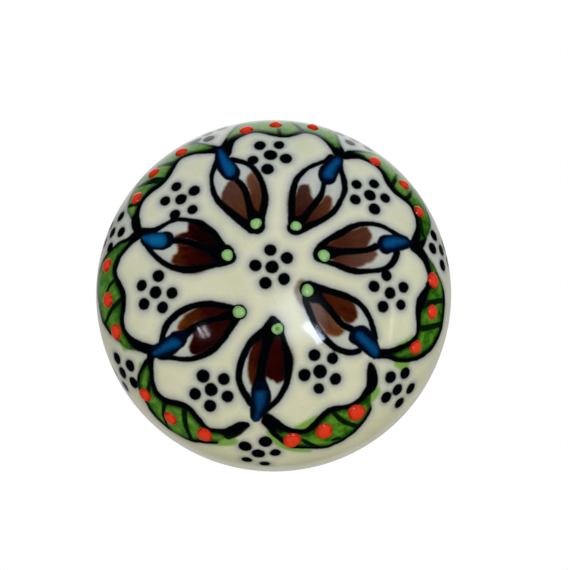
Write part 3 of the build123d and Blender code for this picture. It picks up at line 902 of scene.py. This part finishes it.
class Glaze(Shader):
    """The painted glaze, whose paint layers share one unevenness of their edges."""

    def __init__(self, name):
        super().__init__(bpy.data.materials.new(name), "Principled BSDF")
        broad = self.spread(self.noise(0.9, detail=3.0, roughness=0.6), 0.2)
        fine = self.spread(self.noise(0.16), 0.06)
        self.wobble = self.math("ADD", broad, fine)

    def edge(self, name):
        """The uneven distance to a paint's edge."""
        return self.math("ADD", self.stored(name), self.wobble)

    def layer(self, name, softness, shift=0.0):
        """How much of a paint shows, with an edge of some softness in millimetres."""
        return self.ramp(self.edge(name), softness + shift, shift - softness)

    def ground(self):
        """Mottled ivory with flecks, greyed where ink bled into it and inside the buds."""
        ivory = self.mix(self.noise(3.5, detail=4.0, roughness=0.65), IVORY, IVORY_SHADE)
        ivory = self.mix(self.ramp(self.noise(0.35, detail=1.0), 0.70, 0.76, at_high=0.25), ivory, FLECK)
        ivory = self.mix(self.ramp(self.edge("ink"), 1.2, -0.1, at_high=0.62), ivory, INK_HAZE)
        ivory = self.mix(self.ramp(self.edge("ink"), 0.5, 0.0, at_high=0.42), ivory, INK_EDGE)
        return self.mix(self.math("MULTIPLY", self.layer("bud", 0.15), 0.5), ivory, BUD_HAZE)

    def garland(self, base):
        """Green wash of uneven depth and paleness, the paleness partly a painted sky reflection, darker along
        the ink, with its smears, leaves and painted berry shadows.
        """
        # Paleness of the wash, partly a painted reflection of the sky on the upper swags
        thinness = self.stored("wash_paleness_and_sky_sheen")
        mottle = self.noise(1.3, detail=3.0, roughness=0.6)
        depth = self.math("ADD", mottle, self.math("MULTIPLY", thinness, 0.6))
        green = self.mix(thinness, self.shades(depth, WASH_GREENS), PALE_GREEN_AND_SKY_SHEEN)
        green = self.mix(self.ramp(self.edge("ink"), 0.7, 0.0, at_high=0.85), green, INKY_GREEN)
        base = self.mix(self.ramp(self.edge("smear"), 0.25, -0.3, at_high=0.9), base, SMEAR_GREEN)
        base = self.mix(self.layer("green", 0.16), base, green)
        # Dark green of leaves and of painted shadows under berries
        return self.mix(self.layer("leaf_and_shadow", 0.14), base, LEAF_AND_SHADOW_GREEN)

    def petals(self, base):
        """Streaked brown with a ragged, paler edge, a pale veil that is partly painted reflection, and what
        ran past the outlines.
        """
        streak = self.noise(0.45, detail=3.0, roughness=0.6, place=self.stored("petal_grain", "Vector"))
        warmth = self.math("ADD", self.stored("petal_tone"), self.spread(streak, 0.6))
        warmth = self.math("ADD", warmth, self.ramp(self.stored("brown"), -0.45, 0.0, at_high=0.25))
        # Pale veil over the brown, partly a painted reflection of the window and sky
        brown = self.mix(self.stored("petal_veil_and_glint"), self.shades(warmth, PETAL_BROWNS), PETAL_VEIL_AND_GLINT)
        ragged = self.math("ADD", self.edge("brown"), self.spread(streak, 0.35))
        base = self.mix(self.ramp(self.edge("bleed"), 0.3, -0.25, at_high=0.8), base, BLEED_BROWN)
        return self.mix(self.ramp(ragged, 0.22, -0.22), base, brown)

    def lines(self, base):
        """Black ink, a little blacker where it is thick."""
        ink = self.mix(self.ramp(self.edge("ink"), -0.02, -0.16), INK, DEEP_INK)
        return self.mix(self.layer("ink", 0.1, 0.045), base, ink)

    def calyxes(self, base):
        """Navy rims round pools of blue that are lighter in the middle."""
        base = self.mix(self.layer("navy", 0.13), base, NAVY)
        pool = self.ramp(self.edge("blue"), 0.0, -0.6, at_low=0.16, at_high=0.5)
        pool = self.math("ADD", self.stored("calyx_glow"), pool)
        pool = self.math("ADD", pool, self.spread(self.noise(0.5), 0.35))
        return self.mix(self.layer("blue", 0.2), base, self.shades(pool, CALYX_BLUES))

    def gloss(self):
        """Full gloss, less on ink and petals apart from the top of the knob and one stretch of line."""
        on_ink = self.ramp(self.edge("ink"), 0.05, -0.08, at_low=FULL_GLOSS, at_high=INK_GLOSS)
        on_petal = self.ramp(self.edge("brown"), 0.1, -0.1, at_low=FULL_GLOSS, at_high=PETAL_GLOSS)
        height = self.parts(self.place)[2]
        at_top = self.ramp(height, GLOSSY_FROM * METRE, GLOSSY_ABOVE * METRE, at_high=FULL_GLOSS)
        uneven = self.math("ADD", self.stored("gloss"), self.spread(self.noise(0.22), 1.2))
        on_stretch = self.ramp(uneven, 0.15, -0.35, at_high=FULL_GLOSS)
        level = self.math("MAXIMUM", self.math("MINIMUM", on_ink, on_petal), at_top)
        return self.math("MAXIMUM", level, on_stretch)


def painted_glaze():
    """Ivory glaze over brushed underglaze colours, with soft edges where the paint ran in the firing."""
    glaze = Glaze("painted_glaze")
    base = glaze.ground()
    for coat in (glaze.garland, glaze.petals, glaze.lines, glaze.calyxes):
        base = coat(base)
    glaze.set(Base_Color=base)
    glaze.set(Specular_IOR_Level=glaze.gloss())
    glaze.set(Roughness=glaze.ramp(glaze.noise(2.5, detail=3.0), 0.3, 0.7, at_low=0.05, at_high=0.10))
    broad, fine = glaze.noise(5.0, detail=1.0), glaze.noise(0.8, detail=1.0)
    ripple = glaze.math("ADD", broad, glaze.math("MULTIPLY", fine, 0.06))
    glaze.set(Normal=glaze.bump(ripple, depth=0.05, strength=0.5))
    return glaze.owner


def bare_clay():
    """The unglazed foot ring and hole: fine matte fired clay."""
    shader = new_material("bare_clay")
    speckle = shader.noise(0.4, detail=4.0, roughness=0.65)
    shader.set(Base_Color=shader.mix(speckle, CLAY_LIGHT, CLAY_DARK))
    shader.set(Roughness=shader.ramp(speckle, 0.3, 0.7, at_low=0.75, at_high=0.95))
    shader.set(Normal=shader.bump(speckle, depth=0.05, strength=0.6))
    return shader.owner


def enamel(name, light, edge_shade, pit_shade=None):
    """A raised drop of fired enamel with painted shade: darker at its edge, and in its pit where a colour is
    given for one.
    """
    shader = new_material(name)
    blotch = shader.noise(0.6)
    shade = shader.math("SUBTRACT", shader.stored("from_middle"), shader.spread(blotch, 0.8))
    # Painted shade: darker towards the drop's edge, with blotches
    colour = shader.mix(shader.ramp(shade, 0.45, 1.05), light, edge_shade)
    if pit_shade:
        # Painted shade in the pit
        colour = shader.mix(shader.ramp(shader.stored("pit_shade"), 0.5, 0.8), colour, pit_shade)
    shader.set(Base_Color=colour)
    shader.set(Roughness=shader.ramp(blotch, 0.3, 0.7, at_low=0.1, at_high=0.2))
    shader.set(Normal=shader.bump(blotch, depth=0.03, strength=0.4))
    return shader.owner


# Spacing of the lathe's rings on the brass, in millimetres
LATHE_RING = 0.12


def turned_brass():
    """Yellow brass with the lathe's fine rings and a little tarnish."""
    shader = new_material("turned_brass")
    x, _, z = shader.parts(shader.place)
    square = shader.math("ADD", shader.math("MULTIPLY", x, x), shader.math("MULTIPLY", z, z))
    radius = shader.math("SQRT", square)
    ring = shader.math("SINE", shader.math("MULTIPLY", radius, tau / (LATHE_RING * METRE)))
    tarnish = shader.noise(1.8, detail=4.0, roughness=0.6)
    shader.set(Base_Color=shader.mix(shader.ramp(tarnish, 0.35, 0.75), BRASS_BRIGHT, BRASS_DULL))
    shader.set(Metallic=1.0)
    shader.set(Roughness=shader.ramp(tarnish, 0.3, 0.7, at_low=0.18, at_high=0.38))
    shader.set(Normal=shader.bump(ring, depth=0.004, strength=0.5))
    return shader.owner


def pale_floor():
    """The stage's plain pale floor."""
    shader = new_material("pale_floor")
    shader.set(Base_Color=shader.mix(shader.noise(60.0, detail=3.0), FLOOR_LIGHT, FLOOR_DARK))
    shader.set(Roughness=0.7)
    return shader.owner


# Skin: how finely the back's arcs are divided, and the turn at which the front's border starts
UNDERSIDE_STEPS = 22
WAIST_STEPS = 12
FOOT_EDGE_STEPS = 3
BORDER_TURN = -3 * pi / 4
SMOOTH_LIMIT = radians(40)

# Texture layout: the front's grid in one square, the back unrolled in a strip, and the hole's end as a disc
FRONT_SQUARE = 0.86
FRONT_MARGIN = (1 - FRONT_SQUARE) / 30
STRIP_LOW, STRIP_HIGH = 0.875, 0.995
END_DISC_MIDDLE, END_DISC_RADIUS = (0.93, 0.4), 0.05


def arc(centre, radius, start, end, steps):
    """Profile points round a centre, from one angle to another, both in radians."""
    turns = np.linspace(start, end, steps)
    return [(centre[0] + radius * cos(turn), centre[1] + radius * sin(turn)) for turn in turns]


def back_profile():
    """The knob's profile behind the painted front: glazed part, then the bare foot and the stepped hole."""
    lean = np.arctan2(WAIST_CENTRE[1] - UNDERSIDE_CENTRE[1], WAIST_CENTRE[0] - UNDERSIDE_CENTRE[0])
    foot_edge = FOOT_DIAMETER / 2
    waist_top = np.arctan2(-FOOT_HEIGHT - WAIST_CENTRE[1], foot_edge - WAIST_CENTRE[0])
    glazed = arc(UNDERSIDE_CENTRE, UNDERSIDE_RADIUS, 0, lean, UNDERSIDE_STEPS)[1:]
    glazed += arc(WAIST_CENTRE, WAIST_RADIUS, lean - pi, waist_top - tau, WAIST_STEPS)[1:]
    round_off = (foot_edge - FOOT_EDGE_RADIUS, -FOOT_EDGE_RADIUS)
    glazed += arc(round_off, FOOT_EDGE_RADIUS, 0, pi / 4, FOOT_EDGE_STEPS)
    seat_hole = FLANGE_RADIUS + BOND_GAP
    barrel_hole = BARREL_RADIUS + BOND_GAP
    ledge = insert_high.y - FLANGE_THICKNESS
    bare = arc(round_off, FOOT_EDGE_RADIUS, pi / 4, pi / 2, FOOT_EDGE_STEPS)[1:]
    bare += [(seat_hole + MOUTH_EDGE_BREAK, 0), (seat_hole, -MOUTH_EDGE_BREAK), (seat_hole, ledge)]
    bare += [(barrel_hole, ledge), (barrel_hole, insert_low.y - SCREW_RUN_OUT)]
    return glazed, bare


def mesh_object(name, points, faces, materials, smooth_limit=SMOOTH_LIMIT):
    """A mesh piece from points in millimetres."""
    mesh = bpy.data.meshes.new(name)
    mesh.from_pydata([tuple(float(value) * METRE for value in point) for point in points], [], faces)
    for material in materials:
        mesh.materials.append(material)
    mesh.shade_smooth()
    mesh.set_sharp_from_angle(angle=smooth_limit)
    piece = bpy.data.objects.new(name, mesh)
    bpy.context.scene.collection.objects.link(piece)
    return piece


def keep_values(piece, name, values, blank=0.0):
    """Stores numbers or vectors on a piece's first points, and a blank on the rest."""
    kind, field = ("FLOAT_VECTOR", "vector") if values.ndim == 2 else ("FLOAT", "value")
    padded = np.full((len(piece.data.vertices), *values.shape[1:]), blank)
    padded[:len(values)] = values
    piece.data.attributes.new(name, kind, "POINT").data.foreach_set(field, padded.ravel())


def ring_points(radius, y, count, first_turn=0.0):
    """A ring of points round the axis."""
    turn = first_turn + np.arange(count) * tau / count
    return np.column_stack([radius * np.cos(turn), np.full(count, y), radius * np.sin(turn)])


def face_border():
    """Numbers of the front grid's outer points, in turn round the axis from its lower left."""
    sides = (face_grid[0, :-1], face_grid[:-1, -1], face_grid[-1, :0:-1], face_grid[:0:-1, 0])
    return np.concatenate(sides).tolist()


def front_layout():
    """Texture places of the front's points."""
    row, column = np.indices(face_grid.shape).reshape(2, -1)
    return np.column_stack([column, row]) / FACE_CELLS * FRONT_SQUARE + FRONT_MARGIN


def ring_strip(outer, inner, before, after):
    """Faces from one ring to the next, which has as many points or half, and their texture places."""
    faces, layout = [], []
    size = len(inner)
    for step, (here, there) in enumerate(zip(inner, inner[1:] + inner[:1])):
        left, middle, right = step / size, (step + 0.5) / size, (step + 1) / size
        if size == len(outer):
            faces.append((outer[step], here, there, outer[(step + 1) % size]))
            layout += [(left, before), (left, after), (right, after), (right, before)]
        else:
            first, second, third = outer[2 * step], outer[2 * step + 1], outer[(2 * step + 2) % len(outer)]
            faces += [(first, here, second), (second, here, there), (second, there, third)]
            layout += [(left, before), (left, after), (middle, before)]
            layout += [(middle, before), (left, after), (right, after)]
            layout += [(middle, before), (right, after), (right, before)]
    return faces, layout


def ceramic_skin():
    """The knob's body: the painted front, then rings of fewer points down to the bottom of the hole."""
    points, faces = [face_points], list(front_quads)
    layout = [front_layout()[np.array(front_quads)].reshape(-1, 2)]
    count = len(face_points)
    glazed, bare = back_profile()
    ring = face_border()
    profile = np.array([(KNOB_RADIUS, UNDERSIDE_CENTRE[1]), *glazed, *bare])
    run = np.concatenate([[0], np.cumsum(np.linalg.norm(np.diff(profile, axis=0), axis=1))])
    height = STRIP_LOW + (STRIP_HIGH - STRIP_LOW) * run / run[-1]
    bare_from = None
    for number, (radius, y) in enumerate(profile[1:]):
        if number == len(glazed):
            bare_from = len(faces)
        size = len(ring) // 2 if len(ring) > BACK_RING else len(ring)
        points.append(ring_points(radius, y, size, BORDER_TURN))
        new = list(range(count, count + size))
        count += size
        strip_faces, strip_layout = ring_strip(ring, new, height[number], height[number + 1])
        faces += strip_faces
        layout.append(strip_layout)
        ring = new
    faces.append(tuple(ring[::-1]))
    turn = np.arange(len(ring)) * tau / len(ring)
    layout.append(np.column_stack([np.cos(turn), np.sin(turn)]) * END_DISC_RADIUS + END_DISC_MIDDLE)
    skin = mesh_object("glazed_knob", np.vstack(points), faces, [painted_glaze(), bare_clay()])
    for polygon in skin.data.polygons[bare_from:]:
        polygon.material_index = 1
    skin.data.uv_layers.new(name="OFBake").data.foreach_set("uv", np.vstack(layout).ravel())
    for name, values in {**layers, **strengths}.items():
        keep_values(skin, name, values, FAR)
    keep_values(skin, "petal_grain", petal_grain)
    return skin


# Enamel drops: rise in millimetres, and the swings of their uneven edge with each drop's own turn
GREEN_RISE = 0.16
RED_RISE = 0.38
DROP_SINK = 0.05
DROP_RINGS = 6
DROP_SIDES = 28
DOME_POWER = 0.75
OVAL_SWING, OVAL_TURN = 0.05, 1.7
LOBE_SWING, LOBE_TURN = 0.03, 2.9


def tangent_axes(normal):
    """Two directions across an outward normal, the first as near the image's right as can be."""
    across = (camera_right - normal * camera_right.dot(normal)).normalized()
    return across, normal.cross(across)


def drop_faces(top):
    """Faces of one drop, whose points are numbered from its top and then ring by ring."""
    numbers = np.arange(DROP_RINGS * DROP_SIDES) + top + 1
    rings = numbers.reshape(DROP_RINGS, DROP_SIDES).tolist()
    faces = []
    for side in range(DROP_SIDES):
        other = (side + 1) % DROP_SIDES
        faces.append((top, rings[0][side], rings[0][other]))
        for inner, outer in zip(rings, rings[1:]):
            faces.append((inner[side], outer[side], outer[other], inner[other]))
    faces.append(tuple(rings[-1][::-1]))
    return faces


def enamel_drops(name, drops, rise, material, pitted=None):
    """Raised drops of enamel that sit on the face, each a shallow dome with a slightly uneven edge."""
    places = [(0.0, 0.0)]
    for ring in range(1, DROP_RINGS + 1):
        places += [(ring / DROP_RINGS, side * tau / DROP_SIDES) for side in range(DROP_SIDES)]
    points, faces = [], []
    for number, (x, y, size) in enumerate(drops):
        middle, normal = seen(x, y)
        across, up = tangent_axes(normal)
        faces += drop_faces(len(points))
        for share, angle in places:
            uneven = 1 + OVAL_SWING * sin(2 * angle + OVAL_TURN * number)
            uneven += LOBE_SWING * sin(3 * angle + LOBE_TURN * number)
            aside = (across * cos(angle) + up * sin(angle)) * share * uneven * size / 2
            base, lean, _, _ = front_tree.find_nearest(middle + aside)
            points.append(base + lean * ((rise + DROP_SINK) * (1 - share**2) ** DOME_POWER - DROP_SINK))
    piece = mesh_object(name, points, faces, [material])
    from_middle = np.array([share for share, _ in places])
    keep_values(piece, "from_middle", np.tile(from_middle, len(drops)))
    if pitted is not None:
        # Where the painted shade of the pit goes, on the pitted drop
        pits = np.zeros((len(drops), len(places)))
        pits[pitted] = 1 - from_middle
        keep_values(piece, "pit_shade", pits.ravel())
    return piece


# Insert
INSERT_SIDES = 96
THREAD_STEPS = 8
INSERT_SMOOTH_LIMIT = radians(25)


def insert_profile():
    """The insert's outline from the bore's inner end round the outside to the bore's mouth."""
    back, front = insert_low.y, insert_high.y
    flange = front - FLANGE_THICKNESS
    outline = [(BARREL_RADIUS, back)]
    pitch = (flange - back) / (GROOVE_COUNT + 1)
    for groove in range(1, GROOVE_COUNT + 1):
        middle = back + groove * pitch
        low, high = middle - GROOVE_WIDTH / 2, middle + GROOVE_WIDTH / 2
        floor = BARREL_RADIUS - GROOVE_DEPTH
        outline += [(BARREL_RADIUS, low), (floor, low), (floor, high), (BARREL_RADIUS, high)]
    outline += [(BARREL_RADIUS, flange), (FLANGE_RADIUS, flange), (FLANGE_RADIUS, front - FLANGE_EDGE_BREAK)]
    outline += [(FLANGE_RADIUS - FLANGE_EDGE_BREAK, front), (THREAD_MINOR_RADIUS + THREAD_LEAD_IN, front)]
    return outline


def brass_insert():
    """The brass insert with its tapped thread, which the solid leaves as a plain bore."""
    rings = [ring_points(radius, y, INSERT_SIDES) for radius, y in insert_profile()]
    mouth, end = insert_high.y - THREAD_LEAD_IN, insert_low.y
    turn = np.arange(INSERT_SIDES) * tau / INSERT_SIDES
    for y in np.arange(mouth, end, -THREAD_PITCH / THREAD_STEPS):
        phase = (y / THREAD_PITCH + turn / tau) % 1
        fade = min(1, (mouth - y) / THREAD_PITCH, (y - end) / THREAD_PITCH)
        radius = THREAD_MINOR_RADIUS + THREAD_DEPTH * fade * (1 - np.abs(2 * phase - 1))
        rings.append(ring_points(radius, y, INSERT_SIDES))
    rings.append(ring_points(THREAD_MINOR_RADIUS, end, INSERT_SIDES))
    faces = []
    for ring in range(len(rings)):
        here, there = ring * INSERT_SIDES, (ring + 1) % len(rings) * INSERT_SIDES
        for side in range(INSERT_SIDES):
            other = (side + 1) % INSERT_SIDES
            faces.append((here + side, there + side, there + other, here + other))
    return mesh_object("brass_insert", np.vstack(rings), faces, [turned_brass()], INSERT_SMOOTH_LIMIT)


skin = ceramic_skin()
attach(skin, "root")
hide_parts("ceramic_knob")

green_enamel = enamel("green_enamel", DROP_GREEN, DROP_GREEN_EDGE_SHADE, pit_shade=DROP_GREEN_PIT_SHADE)
green_drops = enamel_drops(
    "green_enamel_dots", [bud.dot for bud in BUDS], GREEN_RISE, green_enamel, pitted=BUDS.index(LOWEST_BUD))
red_enamel = enamel("red_enamel", DROP_RED, DROP_RED_EDGE_SHADE)
red_drops = enamel_drops(
    "red_enamel_dots", [berry for swag in SWAGS for berry in swag.berries], RED_RISE, red_enamel)
for drops in (green_drops, red_drops):
    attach(drops, "root")

insert = brass_insert()
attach(insert, "root")
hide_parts("threaded_insert")

# Stage: floor, world, lamps and camera
FLOOR_DROP = 120.0
FLOOR_HALF = 1500.0
floor_corners = [(-FLOOR_HALF, -FLOOR_HALF), (FLOOR_HALF, -FLOOR_HALF), (FLOOR_HALF, FLOOR_HALF),
                 (-FLOOR_HALF, FLOOR_HALF)]
floor = mesh_object("floor", [(x, y, -FLOOR_DROP) for x, y in floor_corners], [(0, 1, 2, 3)], [pale_floor()])
floor.visible_glossy = False

# World. Soft light goes from low to high with the height of a direction. In reflections, the sky starts where
# a direction is high enough, counting its depth too, and the backdrop where it is deep enough and not low
WHITE = (1.0, 1.0, 1.0, 1.0)
LOW_LIGHT = (0.34, 0.30, 0.04, 1.0)
HIGH_LIGHT = (0.57, 0.635, 0.83, 1.0)
SOFT_FROM, SOFT_TO = -0.9, 0.9
DIM_ROOM = 0.005
SKY_LEAN = 0.8
SKY_FROM, SKY_FULL = 0.97, 1.22
SKY_LEVEL = 1.15
WALL_FROM, WALL_FULL = 0.55, 0.95
WALL_FOOT, WALL_TOP = -0.6, -0.1
WALL_LEVEL = 0.5
WINDOW_LIGHT = (3.0, 3.5, 4.4, 1.0)
WINDOW_CORE, WINDOW_EDGE = radians(4), radians(13)


def reflected_from(glint):
    """The face's point behind a pixel of the photograph, and the direction from which it reflects light."""
    point, normal = seen(*glint)
    to_camera = (camera_place - point).normalized()
    return point, normal * 2 * normal.dot(to_camera) - to_camera


def studio_world():
    """White for the eye, and soft light for matt surfaces.

    Reflections see a dim room with a bright sky, a backdrop and a window's glow.
    """
    shader = Shader(bpy.data.worlds.new("studio"), "Background", "Generated")
    bpy.context.scene.world = shader.owner
    rays = shader.nodes.new("ShaderNodeLightPath").outputs
    _, depth, height = shader.parts(shader.place)
    overhead = shader.math("ADD", height, shader.math("MULTIPLY", depth, SKY_LEAN))
    sky = shader.ramp(overhead, SKY_FROM, SKY_FULL, at_low=DIM_ROOM, at_high=SKY_LEVEL)
    wall = shader.ramp(height, WALL_FOOT, WALL_TOP, at_high=WALL_LEVEL)
    backdrop = shader.math("MULTIPLY", shader.ramp(depth, WALL_FROM, WALL_FULL), wall)
    toward_window = shader.toward(reflected_from(WINDOW_GLINT)[1])
    glow = shader.ramp(toward_window, cos(WINDOW_EDGE), cos(WINDOW_CORE))
    reflected = shader.mix(glow, shader.math("MAXIMUM", sky, backdrop), WINDOW_LIGHT)
    soft = shader.mix(shader.ramp(height, SOFT_FROM, SOFT_TO), LOW_LIGHT, HIGH_LIGHT)
    colour = shader.mix(rays["Is Glossy Ray"], soft, reflected)
    colour = shader.mix(rays["Is Transmission Ray"], colour, WHITE)
    shader.set(Color=shader.mix(rays["Is Camera Ray"], colour, WHITE))
    shader.set(Strength=1.0)


# Lamps: tints, tilts in degrees and places in millimetres
SKY_BLUE = (0.65, 0.76, 1.0)
ROSE = (1.0, 0.9, 0.97)
CREAM = (1.0, 0.985, 0.79)
PLAIN = (1.0, 1.0, 1.0)
SUN_TILT = 45.0
LAMP_TILT = 23.0
LAMP_DISTANCE = 600.0
FRONT_FILL_PLACE = Vector((85, -600, -30))
OVERHEAD_FILL_PLACE = Vector((300, -450, 420))
BACK_FILL_PLACE = Vector((0, 500, 300))


def area_lamp(name, place, target, width, height, power, tilt=0.0, tint=PLAIN):
    """A rectangular lamp at a place in millimetres that faces a target, turned by a tilt in degrees."""
    data = bpy.data.lights.new(name, "AREA")
    data.shape = "RECTANGLE"
    data.size, data.size_y, data.energy, data.color = width * METRE, height * METRE, power, tint
    lamp = bpy.data.objects.new(name, data)
    lamp.location = place * METRE
    lamp.rotation_mode = "QUATERNION"
    facing = (target - place).to_track_quat("-Z", "Y")
    lamp.rotation_quaternion = facing @ Quaternion((0, 0, 1), radians(tilt))
    bpy.context.scene.collection.objects.link(lamp)
    return lamp


def mirrored_lamp(name, glint, **lamp):
    """A lamp whose reflection shows at a pixel of the photograph."""
    point, bounce = reflected_from(glint)
    return area_lamp(name, point + bounce * LAMP_DISTANCE, point, **lamp)


def fill_lamp(name, place, **lamp):
    """A lamp that lights the knob but doesn't show in its reflections."""
    area_lamp(name, place, equator_middle, **lamp).visible_glossy = False


studio_world()
sun = mirrored_lamp(
    "sun_on_window", SUN_GLINT, width=38.0, height=104.0, power=0.26, tilt=SUN_TILT, tint=SKY_BLUE)
sun.visible_diffuse = False
for glint in LAMP_GLINTS:
    mirrored_lamp("lamp", glint, width=6.0, height=50.0, power=0.06, tilt=LAMP_TILT, tint=ROSE)
mirrored_lamp("strip", STRIP_GLINT, width=8.0, height=150.0, power=0.02)
fill_lamp("front_fill", FRONT_FILL_PLACE, width=240.0, height=110.0, power=1.06, tint=CREAM)
fill_lamp("overhead_fill", OVERHEAD_FILL_PLACE, width=500.0, height=400.0, power=0.5, tint=SKY_BLUE)
fill_lamp("back_fill", BACK_FILL_PLACE, width=500.0, height=400.0, power=1.3)

camera_data = bpy.data.cameras.new("photo_camera")
camera_data.sensor_fit = "HORIZONTAL"
camera_data.sensor_width = SENSOR_WIDTH
camera_data.lens = FOCAL_PIXELS * SENSOR_WIDTH / IMAGE_WIDTH
camera_data.clip_start, camera_data.clip_end = CLIP_START, CLIP_END
camera = bpy.data.objects.new("photo_camera", camera_data)
camera.location = camera_place * METRE
camera.rotation_mode = "QUATERNION"
camera.rotation_quaternion = camera_turn
bpy.context.scene.collection.objects.link(camera)
bpy.context.scene.camera = camera
bpy.context.scene.view_settings.view_transform = "Standard"
